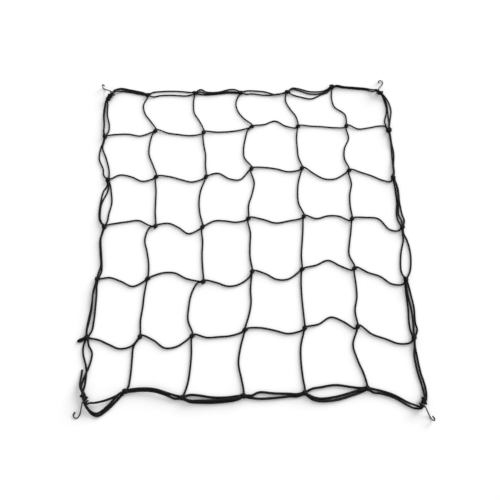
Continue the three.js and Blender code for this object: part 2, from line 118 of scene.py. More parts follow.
makeCamera()
makeLight()
makeFloor()
print("stage: camera, light and floor")

cord = {
    "radius": 1.75,
    "sides": 10,
    "step": 2.6,
    "touchMargin": 0.01,
    "press": 0.1,            # how far a crossing cord sinks into the one below
    "humpSlope": 0.3,
    "humpWindow": 12,        # places on each side that a hump may reach
    "humpSmooth": 2,
    "knotPlaces": 3,         # places at each end that lie inside a knot
    "stretch": {
        "middle": 0.95, "farSide": -0.1, "side": 324, "most": 1.3,
        "slackFrom": -216, "slackSide": 0.22, "tightBeyond": 275, "tightRun": 30,
    },
}

# An even grid of knots, and how far each knot has drifted from it, row 0 far and column 0 left.
grid = {
    "columnPitch": 100,
    "rowPitch": 108,
    "lines": 6,
    "shift": (-0.6, -2.72),
    "drift": [
        {"across": [-3, -20, -18, -18, -16, -20, -17], "along": [4, -1, 4, 5, 7, 20, 7]},
        {"across": [-4, 2, 4, 6, 4, 7, -4], "along": [3, 17, 13, 27, 28, 29, 18]},
        {"across": [12, 10, 12, 5, 9, 6, -5], "along": [8, 15, 15, 34, 35, 30, 13]},
        {"across": [14, 15, 8, -1, 9, 5, 3], "along": [12, 13, 11, 30, 34, 29, 11]},
        {"across": [11, 7, 13, 6, 2, 3, -1], "along": [11, 12, 6, 26, 31, 33, 11]},
        {"across": [3, 0, -4, -7, 3, 1, 3], "along": [6, 8, 10, 21, 24, 27, 6]},
        {"across": [10, -19, -18, -9, -1, 11, 6], "along": [-1, 18, 7, 10, 15, 23, -8]},
    ],
}


def gridPlace(row, column, height):
    drift = grid["drift"][row]
    middle = grid["lines"] / 2
    across = (column - middle) * grid["columnPitch"] + drift["across"][column] + grid["shift"][0]
    along = (middle - row) * grid["rowPitch"] + drift["along"][column] + grid["shift"][1]
    return Vector((across, along, height))


def cordRadius(place, slack):
    # The net is stretched thin towards its far side; the border lies slack along its near side.
    stretch = cord["stretch"]
    share = stretch["middle"] + stretch["farSide"] * place.y / stretch["side"]
    if slack and place.y < stretch["slackFrom"]:
        loose = min(1, max(0, (stretch["tightBeyond"] - abs(place.x)) / stretch["tightRun"]))
        depth = (stretch["slackFrom"] - place.y) / (stretch["side"] + stretch["slackFrom"])
        share += stretch["slackSide"] * loose * depth
    return min(share, stretch["most"]) * cord["radius"]


def heading(degrees):
    return Vector((cos(radians(degrees)), sin(radians(degrees)), 0))


def smoothRun(controls, step):
    # A centripetal spline through the controls, the one that the frame's cords follow.
    row = [controls[0] * 2 - controls[1], *controls, controls[-1] * 2 - controls[-2]]
    places = [controls[0].copy()]
    for before, start, end, after in zip(row, row[1:], row[2:], row[3:]):
        early = sqrt((start - before).length)
        main = sqrt((end - start).length)
        late = sqrt((after - end).length)
        leave = (start - before) / early - (end - before) / (early + main) + (end - start) / main
        arrive = (end - start) / main - (after - start) / (main + late) + (after - end) / late
        leave *= main
        arrive *= main
        steps = max(2, round((end - start).length / step))
        for k in range(1, steps + 1):
            t = k / steps
            place = start + leave * t
            place += ((end - start) * 3 - leave * 2 - arrive) * t ** 2
            place += ((start - end) * 2 + leave + arrive) * t ** 3
            places.append(place)
    return places


def settle(places, slack=False):
    # No cord goes into the floor, and one that lies on it touches it.
    for place in places:
        radius = cordRadius(place, slack)
        if place.z < max(radius, cord["radius"] + cord["touchMargin"]):
            place.z = radius
    return places


def layOver(places, lower):
    # Lifts a cord where it passes over cords that are laid already, in long low humps.
    need = []
    for place in places:
        height = place.z
        reach = 2 * cordRadius(place, True) - cord["press"]
        for other in lower:
            gap = hypot(other.x - place.x, other.y - place.y)
            if gap < reach:
                height = max(height, other.z + sqrt(reach ** 2 - gap ** 2))
        need.append(height)
    lifted = []
    window = cord["humpWindow"]
    for i, place in enumerate(places):
        height = need[i]
        for j in range(max(0, i - window), min(len(places), i + window + 1)):
            away = (places[j] - place).length
            height = max(height, need[j] - cord["humpSlope"] * away)
        lifted.append(height)
    smooth = cord["humpSmooth"]
    for i, place in enumerate(places):
        around = lifted[max(0, i - smooth):i + smooth + 1]
        place.z = max(sum(around) / len(around), place.z)
    return places


def addTube(whole, places, radii, sides):
    # One closed tube of cord or wire, drawn out ring by ring along its places.
    if not isinstance(radii, list):
        radii = [radii] * len(places)
    bm = bmesh.new()
    along = bm.verts.layers.float.new("along")
    around = bm.verts.layers.float.new("around")
    ring = bmesh.ops.create_circle(bm, segments=sides, radius=1)["verts"]
    for i, vert in enumerate(ring):
        vert[around] = i / sides
    edges = list(bm.edges)
    tangents = []
    for i in range(len(places)):
        run = places[min(i + 1, len(places) - 1)] - places[max(i - 1, 0)]
        tangents.append(run.normalized())
    turn = up.rotation_difference(tangents[0])
    here = Matrix.LocRotScale(places[0], turn, Vector((radii[0],) * 3))
    bmesh.ops.transform(bm, matrix=here, verts=ring)
    length = 0
    for i in range(1, len(places)):
        turn = tangents[i - 1].rotation_difference(tangents[i]) @ turn
        there = Matrix.LocRotScale(places[i], turn, Vector((radii[i],) * 3))
        length += (places[i] - places[i - 1]).length
        drawn = bmesh.ops.extrude_edge_only(bm, edges=edges)["geom"]
        ring = [item for item in drawn if isinstance(item, bmesh.types.BMVert)]
        edges = [item for item in drawn if isinstance(item, bmesh.types.BMEdge)]
        bmesh.ops.transform(bm, matrix=there @ here.inverted(), verts=ring)
        for vert in ring:
            vert[along] = length
        here = there
    bmesh.ops.holes_fill(bm, edges=[edge for edge in bm.edges if edge.is_boundary])
    bmesh.ops.recalc_face_normals(bm, faces=bm.faces)
    mesh = bpy.data.meshes.new("strand")
    bm.to_mesh(mesh)
    bm.free()
    whole.from_mesh(mesh)
    bpy.data.meshes.remove(mesh)
    return length


def addCord(whole, places, slack):
    return addTube(whole, places, [cordRadius(place, slack) for place in places], cord["sides"])


def finishPiece(whole, name, nodes, material):
    # The lengthwise place and the turn round a cord become its UV map, then metres.
    along = whole.verts.layers.float["along"]
    around = whole.verts.layers.float["around"]
    layer = whole.loops.layers.uv.new("sheath")
    for face in whole.faces:
        face.smooth = True
        turns = [loop.vert[around] for loop in face.loops]
        wraps = max(turns) - min(turns) > 0.5 and len(turns) == 4
        for loop, turn in zip(face.loops, turns):
            loop[layer].uv = (loop.vert[along], turn + 1 if wraps and turn < 0.5 else turn)
    whole.verts.layers.float.remove(along)
    whole.verts.layers.float.remove(whole.verts.layers.float["around"])
    bmesh.ops.scale(whole, vec=(mm, mm, mm), verts=whole.verts)
    mesh = bpy.data.meshes.new(name)
    whole.to_mesh(mesh)
    whole.free()
    piece = bpy.data.objects.new(name, mesh)
    scene.collection.objects.link(piece)
    mesh.materials.append(material)
    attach(piece, "root")
    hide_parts(*nodes)


print("stage: cord tools")


def addNode(tree, kind, **settings):
    node = tree.nodes.new(kind)
    for key, value in settings.items():
        setattr(node, key, value)
    return node


def mathNode(tree, operation, first, second=None):
    # A Math node with links or numbers at its inputs.
    node = addNode(tree, "ShaderNodeMath", operation=operation)
    for socket, value in zip(node.inputs, (first, second)):
        if value is None:
            continue
        if isinstance(value, (int, float)):
            socket.default_value = value
        else:
            tree.links.new(value, socket)
    return node.outputs[0]


braid = {
    "dip": 0.45,
    "fibreScale": 7,
    "fibreDetail": 3,
    "fibreHeight": 0.3,
    # How far the height sets the colour: painted shade in the yarn dips, and random fibre tone.
    "dipShadeAndFibreShare": 0.8,
    "roughest": 0.92,
    "roughDrop": 0.3,
}

cordFinish = {
    "yarnLength": 1.7,
    "yarnsAround": 6,
    # The dark tone is painted shade in the dips between the yarns; the light one is the tone of the yarn
    # crowns.
    "dark": (0.0015, 0.0015, 0.002, 1),
    "light": (0.009, 0.009, 0.0105, 1),
    "bumpStrength": 0.8,
    "bumpDepth": 0.0003,
    "gloss": 0.14,
    "sheen": 0.03,
    "sheenRoughness": 0.4,
}

wireFinish = {
    "lineStretch": (0.15, 9, 1),
    "lineScale": 3,
    "lineDetail": 4,
    "dark": (0.018, 0.019, 0.02, 1),
    "light": (0.075, 0.077, 0.082, 1),
    "cap": (0.006, 0.006, 0.007, 1),
    "capEnd": 6.4,           # millimetres of the wire from its rounded tip
    "smoothest": 0.2,
    "roughRange": 0.25,
    "bumpStrength": 0.25,
    "bumpDepth": 0.0001,
}


def makeBraid():
    # The plaited sheath of an elastic cord: two families of yarns that pass over and under, with painted
    # shade in the dips between the yarns.
    tree = bpy.data.node_groups.new("braidedSheath", "ShaderNodeTree")
    sockets = tree.interface
    sockets.new_socket("Place", in_out="INPUT", socket_type="NodeSocketVector")
    sockets.new_socket("Yarn Length", in_out="INPUT", socket_type="NodeSocketFloat")
    sockets.new_socket("Yarns Around", in_out="INPUT", socket_type="NodeSocketFloat")
    sockets.new_socket("Dark", in_out="INPUT", socket_type="NodeSocketColor")
    sockets.new_socket("Light", in_out="INPUT", socket_type="NodeSocketColor")
    sockets.new_socket("Shade", in_out="OUTPUT", socket_type="NodeSocketColor")
    sockets.new_socket("Roughness", in_out="OUTPUT", socket_type="NodeSocketFloat")
    sockets.new_socket("Height", in_out="OUTPUT", socket_type="NodeSocketFloat")
    given = addNode(tree, "NodeGroupInput")
    result = addNode(tree, "NodeGroupOutput")
    parts = addNode(tree, "ShaderNodeSeparateXYZ")
    tree.links.new(given.outputs["Place"], parts.inputs[0])
    lengthwise = mathNode(tree, "DIVIDE", parts.outputs["X"], given.outputs["Yarn Length"])
    turned = mathNode(tree, "MULTIPLY", parts.outputs["Y"], given.outputs["Yarns Around"])
    crowns = []
    cells = []
    for operation in ("ADD", "SUBTRACT"):
        family = mathNode(tree, operation, lengthwise, turned)
        cells.append(mathNode(tree, "FLOOR", family))
        share = mathNode(tree, "FRACT", family)
        sideways = mathNode(tree, "SUBTRACT", mathNode(tree, "MULTIPLY", share, 2.0), 1.0)
        crowns.append(mathNode(tree, "SUBTRACT", 1.0, mathNode(tree, "MULTIPLY", sideways, sideways)))
    parity = mathNode(tree, "FLOORED_MODULO", mathNode(tree, "ADD", cells[0], cells[1]), 2.0)
    over = addNode(tree, "ShaderNodeMix", data_type="FLOAT")
    tree.links.new(parity, over.inputs["Factor"])
    tree.links.new(crowns[0], over.inputs["A"])
    tree.links.new(crowns[1], over.inputs["B"])
    ends = addNode(tree, "ShaderNodeMix", data_type="FLOAT")
    tree.links.new(parity, ends.inputs["Factor"])
    tree.links.new(crowns[1], ends.inputs["A"])
    tree.links.new(crowns[0], ends.inputs["B"])
    sunk = mathNode(tree, "MULTIPLY", ends.outputs["Result"], braid["dip"])
    dip = mathNode(tree, "ADD", sunk, 1 - braid["dip"])
    yarn = mathNode(tree, "MULTIPLY", over.outputs["Result"], dip)
    fibres = addNode(tree, "ShaderNodeTexNoise")
    fibres.inputs["Scale"].default_value = braid["fibreScale"]
    fibres.inputs["Detail"].default_value = braid["fibreDetail"]
    tree.links.new(given.outputs["Place"], fibres.inputs["Vector"])
    fluff = mathNode(tree, "MULTIPLY", fibres.outputs["Fac"], braid["fibreHeight"])
    height = mathNode(tree, "ADD", yarn, fluff)
    tree.links.new(height, result.inputs["Height"])
    # Painted shade: the colour follows the height, so the dips between the yarns are painted darker. The
    # fibre noise in the height varies the tone at random.
    tone = addNode(tree, "ShaderNodeMix", data_type="RGBA")
    tree.links.new(mathNode(tree, "MULTIPLY", height, braid["dipShadeAndFibreShare"]), tone.inputs["Factor"])
    tree.links.new(given.outputs["Dark"], tone.inputs["A"])
    tree.links.new(given.outputs["Light"], tone.inputs["B"])
    tree.links.new(tone.outputs["Result"], result.inputs["Shade"])
    polish = mathNode(tree, "MULTIPLY", yarn, braid["roughDrop"])
    rough = mathNode(tree, "SUBTRACT", braid["roughest"], polish)
    tree.links.new(rough, result.inputs["Roughness"])
    return tree


def makeCordMaterial(braidGroup):
    material = bpy.data.materials.new("blackElasticCord")
    material.use_nodes = True
    tree = material.node_tree
    shader = tree.nodes["Principled BSDF"]
    place = addNode(tree, "ShaderNodeUVMap", uv_map="sheath")
    sheath = addNode(tree, "ShaderNodeGroup", node_tree=braidGroup)
    sheath.inputs["Yarn Length"].default_value = cordFinish["yarnLength"]
    sheath.inputs["Yarns Around"].default_value = cordFinish["yarnsAround"]
    sheath.inputs["Dark"].default_value = cordFinish["dark"]
    sheath.inputs["Light"].default_value = cordFinish["light"]
    tree.links.new(place.outputs["UV"], sheath.inputs["Place"])
    bump = addNode(tree, "ShaderNodeBump")
    bump.inputs["Strength"].default_value = cordFinish["bumpStrength"]
    bump.inputs["Distance"].default_value = cordFinish["bumpDepth"]
    tree.links.new(sheath.outputs["Height"], bump.inputs["Height"])
    tree.links.new(sheath.outputs["Shade"], shader.inputs["Base Color"])
    tree.links.new(sheath.outputs["Roughness"], shader.inputs["Roughness"])
    tree.links.new(bump.outputs["Normal"], shader.inputs["Normal"])
    shader.inputs["Specular IOR Level"].default_value = cordFinish["gloss"]
    shader.inputs["Sheen Weight"].default_value = cordFinish["sheen"]
    shader.inputs["Sheen Roughness"].default_value = cordFinish["sheenRoughness"]
    return material


def makeWireMaterial():
    material = bpy.data.materials.new("steelWire")
    material.use_nodes = True
    tree = material.node_tree
    shader = tree.nodes["Principled BSDF"]
    place = addNode(tree, "ShaderNodeUVMap", uv_map="sheath")
    stretch = addNode(tree, "ShaderNodeMapping")
    stretch.inputs["Scale"].default_value = wireFinish["lineStretch"]
    tree.links.new(place.outputs["UV"], stretch.inputs["Vector"])
    lines = addNode(tree, "ShaderNodeTexNoise")
    lines.inputs["Scale"].default_value = wireFinish["lineScale"]
    lines.inputs["Detail"].default_value = wireFinish["lineDetail"]
    tree.links.new(stretch.outputs["Vector"], lines.inputs["Vector"])
    tone = addNode(tree, "ShaderNodeMix", data_type="RGBA")
    tone.inputs["A"].default_value = wireFinish["dark"]
    tone.inputs["B"].default_value = wireFinish["light"]
    tree.links.new(lines.outputs["Fac"], tone.inputs["Factor"])
    parts = addNode(tree, "ShaderNodeSeparateXYZ")
    tree.links.new(place.outputs["UV"], parts.inputs[0])
    bare = mathNode(tree, "GREATER_THAN", parts.outputs["X"], wireFinish["capEnd"])
    tree.links.new(bare, shader.inputs["Metallic"])
    capped = addNode(tree, "ShaderNodeMix", data_type="RGBA")
    tree.links.new(bare, capped.inputs["Factor"])
    capped.inputs["A"].default_value = wireFinish["cap"]
    tree.links.new(tone.outputs["Result"], capped.inputs["B"])
    tree.links.new(capped.outputs["Result"], shader.inputs["Base Color"])
    worn = mathNode(tree, "MULTIPLY", lines.outputs["Fac"], wireFinish["roughRange"])
    rough = mathNode(tree, "ADD", worn, wireFinish["smoothest"])
    tree.links.new(rough, shader.inputs["Roughness"])
    bump = addNode(tree, "ShaderNodeBump")
    bump.inputs["Strength"].default_value = wireFinish["bumpStrength"]
    bump.inputs["Distance"].default_value = wireFinish["bumpDepth"]
    tree.links.new(lines.outputs["Fac"], bump.inputs["Height"])
    tree.links.new(bump.outputs["Normal"], shader.inputs["Normal"])
    return material


blackCord = makeCordMaterial(makeBraid())
steelWire = makeWireMaterial()
print("stage: materials")

# The inner cords: sideways offsets at a quarter, half and three quarters of each span, and
# how a cord leaves its first border knot and comes to its last.
inner = {
    "height": 3.6,
    "exitHeight": 3,
    "pairHalfSpacing": 1.85,
    "upperRightArm": (2, 3.5),
    "lowerLeftArm": (-3, -5),
    "stations": (1 / 4, 1 / 2, 3 / 4),
    "edgeHeight": 2.6,
    "across": [
        {"row": 1, "early": [3, -5, -3, 5, 0, -6], "middle": [1, -6, -4, 15, 0, 0],
         "late": [-6, -6, -3, 4, -1, 8], "first": (9, 3), "last": (-8, 10)},
        {"row": 2, "early": [11, 0, 3, 2, -12, -2], "middle": [6, -5, -13, 0, -21, -5],
         "late": [-5, -9, -18, -5, -18, -10], "first": (7, 3), "last": (-6, -9)},
        {"row": 3, "early": [7, 6, 8, -4, -4, 6], "middle": [10, -1, 5, -11, 5, 8],
         "late": [12, -12, -1, -6, 7, -10], "first": (7, 4), "last": (-9, -8)},
        {"row": 4, "early": [4, 11, -6, -6, 7, -5], "middle": [-3, 13, -15, -17, 18, -7],
         "late": [-12, 4, -13, -16, 8, -16], "first": (7, 1), "last": (-6, -10)},
        {"row": 5, "early": [0, -8, -7, 2, 6, -11], "middle": [-5, -21, -7, -2, 20, -14],
         "late": [-9, -17, -6, -7, 13, -17], "first": (6, -1), "last": (-8, -9)},
    ],
    "along": [
        {"column": 1, "early": [-14, -9, 1, -9, -2, 1], "middle": [-15, -12, 0, -4, -2, 3],
         "late": [-7, -6, -1, 0, -3, 4], "first": (-1, -7), "last": (4.5, 7)},
        {"column": 2, "early": [-8, 0, -8, 1, -10, 4], "middle": [-11, 2, -10, -1, -12, 6],
         "late": [-4, 0, -7, -1, -11, 6], "first": (-1, -8), "last": (4, 8)},
        {"column": 3, "early": [-17, -8, 8, 3, 1, -7], "middle": [-19, -13, 5, 0, 5, -10],
         "late": [-12, -13, -1, -2, 4, -4], "first": (-4, -6), "last": (0, 7)},
        {"column": 4, "early": [-10, -4, -7, 0, -2, -6], "middle": [-6, -5, -10, -1, -2, -6],
         "late": [1, -5, -9, -2, -1, -3], "first": (-4, -7), "last": (0.5, 7)},
        {"column": 5, "early": [-8, 4, 4, -3, 2, -12], "middle": [-10, -6, -1, -7, 2, -9],
         "late": [5, -8, -2, -9, -3, -2], "first": (0.5, -7), "last": (-0.5, 8)},
    ],
    # Pairs that part further below their knot: row, column and where they part from it.
    "longPairs": {
        (1, 1): (-6, -5),
        (1, 3): (-9, -6),
        (3, 1): (-11, -1),
        (4, 2): (-11, -1),
        (4, 3): (-3, -11),
        (5, 1): (-12, -18),
    },
}


def pairExit(row, column, arm, side):
    # Where a cord of the pair leaves a knot; side is 1 on the upper left and -1 on the lower right.
    out = Vector((arm[0], arm[1], 0))
    left = Vector((-arm[1], arm[0], 0)).normalized()
    if arm[1] < 0:
        left = -left
    return gridPlace(row, column, inner["exitHeight"]) + out + left * side * inner["pairHalfSpacing"]


def swayPlaces(start, end, stations, sways, height):
    # Places at some shares of a straight line, each moved sideways and down to rest.
    run = end - start
    run.z = 0
    left = Vector((-run.y, run.x, 0)).normalized()
    places = []
    for station, sway in zip(stations, sways):
        place = start + run * station + left * sway
        place.z = height
        places.append(place)
    return places


def lowerLeft(row, column):
    return inner["longPairs"].get((row, column), inner["lowerLeftArm"])


def edgeArm(knot, arm):
    place = knot + Vector((arm[0], arm[1], 0))
    place.z = inner["edgeHeight"]
    return place


def innerControls(offsets, knotAt, leaveAt, enterAt):
    # One whole cord, from a border knot through five knots to the opposite border.
    last = grid["lines"]
    controls = [knotAt(0), edgeArm(knotAt(0), offsets["first"])]
    for span in range(last):
        start = leaveAt(span) if span > 0 else knotAt(0)
        end = enterAt(span + 1) if span < last - 1 else knotAt(last)
        if span > 0:
            controls.append(start)
        sways = (offsets["early"][span], offsets["middle"][span], offsets["late"][span])
        controls += swayPlaces(start, end, inner["stations"], sways, cord["radius"])
        controls.append(end if span < last - 1 else edgeArm(end, offsets["last"]))
        controls.append(knotAt(span + 1))
    return controls


def acrossControls(offsets):
    row = offsets["row"]
    return innerControls(
        offsets,
        lambda column: gridPlace(row, column, inner["height"]),
        lambda column: pairExit(row, column, inner["upperRightArm"], -1),
        lambda column: pairExit(row, column, lowerLeft(row, column), 1),
    )


def alongControls(offsets):
    column = offsets["column"]
    return innerControls(
        offsets,
        lambda row: gridPlace(row, column, inner["height"]),
        lambda row: pairExit(row, column, lowerLeft(row, column), -1),
        lambda row: pairExit(row, column, inner["upperRightArm"], 1),
    )


# A tied knot: cord wound round the pair, with one strand drawn over the turns.
knots = {
    "innerKnot": {
        "turns": 3, "length": 5.8, "across": 3, "upward": 2, "radius": 1.45, "direction": 50, "height": 3.5,
        "barReach": 5.2, "barSide": 1.6, "barHeight": 6.3,
    },
    "borderKnot": {
        "turns": 3, "length": 6.2, "across": 3.5, "upward": 2.1, "radius": 1.5, "height": 3.6,
        "barReach": 5.4, "barSide": 1.8, "barHeight": 6.6,
    },
    "largeKnot": {
        "turns": 4, "length": 7.4, "across": 4.6, "upward": 2.3, "radius": 1.6, "height": 3.9,
        "barReach": 6, "barSide": 2.4, "barHeight": 7.2,
    },
    "lashKnot": {
        "turns": 2, "length": 3, "across": 1.9, "upward": 1.9, "radius": 1.15, "height": 6,
        "barReach": 2.6, "barSide": 1, "barHeight": 8,
    },
    "large": [("far", 5), ("right", 1)],
    # The strand over the turns, in shares of its reach, its side and its rise.
    "bar": [
        {"along": -1, "side": -1, "rise": 0},
        {"along": -0.5, "side": -0.7, "rise": 0.9},
        {"along": 0, "side": 0, "rise": 1},
        {"along": 0.5, "side": 0.7, "rise": 0.9},
        {"along": 1, "side": 1, "rise": 0},
    ],
    "barDrop": 0.6,
    "barStep": 1.2,
    "stepsPerTurn": 18,
    "sides": 8,
    "tuckTurns": 0.2,
    "tuckedReach": 0.35,
    # How a knot's variety follows from its row and column, and what it turns.
    "variety": {"row": 2.9, "column": 4.7, "start": 0.6},
    "turnVariety": 7,
    "phaseVariety": 2.4,
    "leanFrom": -0.2,
}


def coilRound(path, turns, across, upward, phase):
    # Turns of cord round a path of places; the ends tuck in towards the middle.
    count = round(turns * knots["stepsPerTurn"])
    places = []
    for k in range(count + 1):
        share = k / count
        at = share * (len(path) - 1)
        low = min(int(at), len(path) - 2)
        middle = path[low].lerp(path[low + 1], at - low)
        run = (path[low + 1] - path[low]).normalized()
        side = up.cross(run).normalized()
        over = run.cross(side)
        tuck = min(1, share * turns / knots["tuckTurns"], (1 - share) * turns / knots["tuckTurns"])
        reach = knots["tuckedReach"] + (1 - knots["tuckedReach"]) * tuck
        angle = phase + 2 * pi * turns * share
        places.append(middle + side * across * reach * cos(angle) + over * upward * reach * sin(angle))
    return places


def addKnot(whole, place, direction, knot, variety):
    # Variety, from -1 to 1, turns the windings a little, so that no two knots are the same.
    run = heading(direction + knots["turnVariety"] * variety)
    side = up.cross(run)
    middle = Vector((place.x, place.y, knot["height"]))
    half = run * knot["length"] / 2
    phase = knots["phaseVariety"] * variety
    coil = coilRound([middle - half, middle + half], knot["turns"], knot["across"], knot["upward"], phase)
    addTube(whole, settle(coil), knot["radius"], knots["sides"])
    lean = knot["barSide"] * (1 if variety > knots["leanFrom"] else -1)
    foot = knot["height"] - knots["barDrop"]
    bar = []
    for row in knots["bar"]:
        point = middle + run * knot["barReach"] * row["along"] + side * lean * row["side"]
        point.z = foot + (knot["barHeight"] - foot) * row["rise"]
        bar.append(point)
    addTube(whole, smoothRun(bar, knots["barStep"]), knot["radius"], knots["sides"])


def varietyOf(row, column):
    variety = knots["variety"]
    return sin(row * variety["row"] + column * variety["column"] + variety["start"])


def makeMeshNet():
    whole = bmesh.new()
    total = 0
    for offsets in inner["across"]:
        places = settle(smoothRun(acrossControls(offsets), cord["step"]))
        total += addCord(whole, places, False)
    for offsets in inner["along"]:
        places = settle(smoothRun(alongControls(offsets), cord["step"]))
        total += addCord(whole, places, False)
    for row in range(1, grid["lines"]):
        for column in range(1, grid["lines"]):
            knot = knots["innerKnot"]
            addKnot(whole, gridPlace(row, column, 0), knot["direction"], knot, varietyOf(row, column))
    finishPiece(whole, "meshNet", ["mesh_net"], blackCord)
    print("stage: inner cords,", round(total), "mm of cord, the knots' windings left out")


makeMeshNet()

# The border: two cords all round and a third on some spans, one row a span, with offsets
# at an eighth, a quarter, half, three quarters and seven eighths of the span.
# Offsets are away from the viewer on the far and near sides, to the right on the others.
border = {
    "far": [
        {"outer": [9, 15, 12.5, 9, 6.5], "inner": [3, 6.5, 6, 2.5, 1], "turn": [6, 11, 9.5, 6, 3.5]},
        {"outer": [8, 9, 9, 6.5, 4], "inner": [-4, -1.5, -1.5, -4.5, -4.5]},
        {"outer": [10.5, 4, 3.5, 10, 9.5], "inner": [-2.5, -3.5, -1.5, 1, 0], "turn": [4, -1, 0.5, 4, 3]},
        {"outer": [6, 6, 3, -5, -2], "inner": [-2.5, -2, -6, -6, -4]},
        {"outer": [10, 7, -4, -7, -4.5], "inner": [-9, -14.5, -23, -15, -12],
         "turn": [6.5, 2, -10.5, -12.5, -8.5]},
        {"outer": [5.5, 5.5, 6.5, 7, 4], "inner": [3, 2.5, 3, 3, -1], "turn": [4.5, 4, 5, 5, 1.5]},
    ],
    "near": [
        {"outer": [-22.5, -29, -23, -12, -6], "inner": [-4, -6, -7, -4.5, -1.5],
         "turn": [-18.5, -24.5, -18.5, -7.5, -2]},
        {"outer": [1, 3.5, 5, 0.5, -3], "inner": [5, 7.5, 9, 4.5, 2.5]},
        {"outer": [-7.5, -9, -10, -8.5, -6.5], "inner": [4.5, 3.5, -1, -1.5, 0],
         "turn": [-5.5, -6, -6.5, -5, -4]},
        {"outer": [-4, -6, -6, -4.5, -5], "inner": [0, 5, 2, 0, -1.5]},
        {"outer": [-12.5, -16, -15.5, -9.5, -6], "inner": [6.5, 8, 10, 4.5, 2],
         "turn": [-8, -11.5, -10, -4.5, -2]},
        {"outer": [-3.5, -1, -1, -6.5, -7.5], "inner": [2.5, 3.5, 3, -1.5, -2.5]},
    ],
    "left": [
        {"outer": [-5, -8, -8.5, -5, -4.5], "inner": [-1, -2, -0.5, 6.5, 6.5],
         "turn": [-3, -5.5, -6.5, -3.5, -3]},
        {"outer": [-4.5, -10, -15, -8.5, -8.5], "inner": [-2, -6.5, -1, 3, 3]},
        {"outer": [-1, -7.5, -11.5, -12.5, -10], "inner": [5.5, 8, 11, 6.5, 5.5],
         "turn": [2, 1, -8.5, -10, -8]},
        {"outer": [-3, -5, -1.5, 3, 0.5], "inner": [-1, -3, 1, 5.5, 5.5]},
        {"outer": [-3, -3.5, -2.5, -3.5, -3.5], "inner": [1, 3, 5.5, 7, 6.5],
         "turn": [-2, -3, -0.5, -1, -2]},
        {"outer": [-6, -6, 1, -0.5, -1.5], "inner": [3.5, 10, 4.5, -6, -5],
         "turn": [-7, -7, -6.5, -7.5, -5]},
    ],
    "right": [
        {"outer": [12, 14.5, 16, 8.5, 4.5], "inner": [5, 7, 6.5, -3, -3.5], "turn": [8, 9.5, 8, 5.5, 3]},
        {"outer": [3, 3.5, 6, 3.5, 3.5], "inner": [0.5, 1.5, 2, 1.5, 1.5]},
        {"outer": [4.5, 6, 4, 4.5, 6.5], "inner": [0, 0, -1.5, -6.5, -5.5], "turn": [3, 4, 1.5, -2.5, 1]},
        {"outer": [2, 7.5, 12.5, 11.5, 8.5], "inner": [-0.5, 0.5, -5.5, -8, -7]},
        {"outer": [4, 5.5, 8, 6.5, 8], "inner": [-2.5, -3, -3, -5, -4.5], "turn": [-1, -1, 2.5, 2.5, 1.5]},
        {"outer": [0, 1, 3.5, 9, 8], "inner": [-1.5, -3.5, -1.5, 4, 4]},
    ],
    "stations": (1 / 8, 1 / 4, 1 / 2, 3 / 4, 7 / 8),
    "raised": {("near", 0, "inner"): 5, ("near", 1, "outer"): 4, ("near", 1, "inner"): 4},
    "strands": ("outer", "inner", "turn"),
    "outward": {"far": (0, 1), "near": (0, -1), "left": (-1, 0), "right": (1, 0)},
    "knotReach": {"outer": 1.2, "inner": -1.2, "turn": 0},
    "knotHeight": 3.5,
}

# The corners: where the ring of each hook stands beside the corner of the grid, the way the
# ring faces, the way the hook points, its tip's side and lift, and the lashing's run.
corners = {
    "places": [
        {"name": "far_left", "row": 0, "column": 0, "shift": (6, -3), "eye": 143, "direction": 141,
         "tipSide": -1, "lift": 78, "lash": 238, "lashLength": 16},
        {"name": "far_right", "row": 0, "column": 6, "shift": (-3, 0.5), "eye": 68, "direction": 68,
         "tipSide": 1, "lift": 15, "lash": -42, "lashLength": 7},
        {"name": "near_left", "row": 6, "column": 0, "shift": (2.5, 0.5), "eye": -160, "direction": -121,
         "tipSide": -1, "lift": 0, "lash": 110, "lashLength": 11},
        {"name": "near_right", "row": 6, "column": 6, "shift": (-2, 2), "eye": -35, "direction": -57,
         "tipSide": 1, "lift": 80, "lash": 60, "lashLength": 10},
    ],
    "eyeHeight": 7,
    "lashHeight": 5.6,
    "bundleRadius": 2.02,
    "bundleReaches": (-1.6, 1.6, 5),
    "bundleAngles": {"outer": 330, "inner": 210, "turn": 90},
    "lashStart": 4,
    "lashPitch": 3.1,
    "lashLead": 1,
    "lashRadius": 0.95,
    "bumps": [{"share": 0.25, "side": -3.4}, {"share": 0.85, "side": 3.4}],
    "bumpTurn": 60,
    "tailStart": 2,          # where the free end starts on the last span of the left side
}

stub = {
    "knot": 5,
    "direction": 202,
    "length": 18,
    "halfSpacing": 1.8,
    "legs": [{"share": 0.06, "height": 3.5}, {"share": 0.45, "height": 2.9}, {"share": 0.82, "height": 1.75}],
    "tipHeight": 1.75,
    "step": 1.5,
}


def sideKnot(side, index, height):
    if side == "far":
        return gridPlace(0, index, height)
    if side == "near":
        return gridPlace(grid["lines"], index, height)
    if side == "left":
        return gridPlace(index, 0, height)
    return gridPlace(index, grid["lines"], height)


def strandKnot(side, index, strand):
    place = sideKnot(side, index, border["knotHeight"])
    outward = Vector((*border["outward"][side], 0))
    return place + outward * border["knotReach"][strand]


def strandSways(side, span, strand):
    row = border[side][span]
    if strand not in row:
        return []
    start = sideKnot(side, span, 0)
    end = sideKnot(side, span + 1, 0)
    places = swayPlaces(start, end, border["stations"], row[strand], cord["radius"])
    rise = border["raised"].get((side, span, strand), 0)
    for place, station in zip(places, border["stations"]):
        place.z += rise * sin(pi * station)
    return places


def eyePlace(corner):
    return gridPlace(corner["row"], corner["column"], corners["eyeHeight"]) + Vector((*corner["shift"], 0))


def bundleOffset(outward, strand):
    # How far a strand lies from the middle of the bundle.
    angle = radians(corners["bundleAngles"][strand])
    return (outward * cos(angle) + up * sin(angle)) * corners["bundleRadius"]


def throughEye(corner, strand, turned):
    # One strand of the bundle, straight through the ring of its hook.
    along = heading(corner["eye"] - 90) * turned
    middle = eyePlace(corner) + bundleOffset(heading(corner["eye"]), strand)
    return [middle + along * reach for reach in corners["bundleReaches"]]


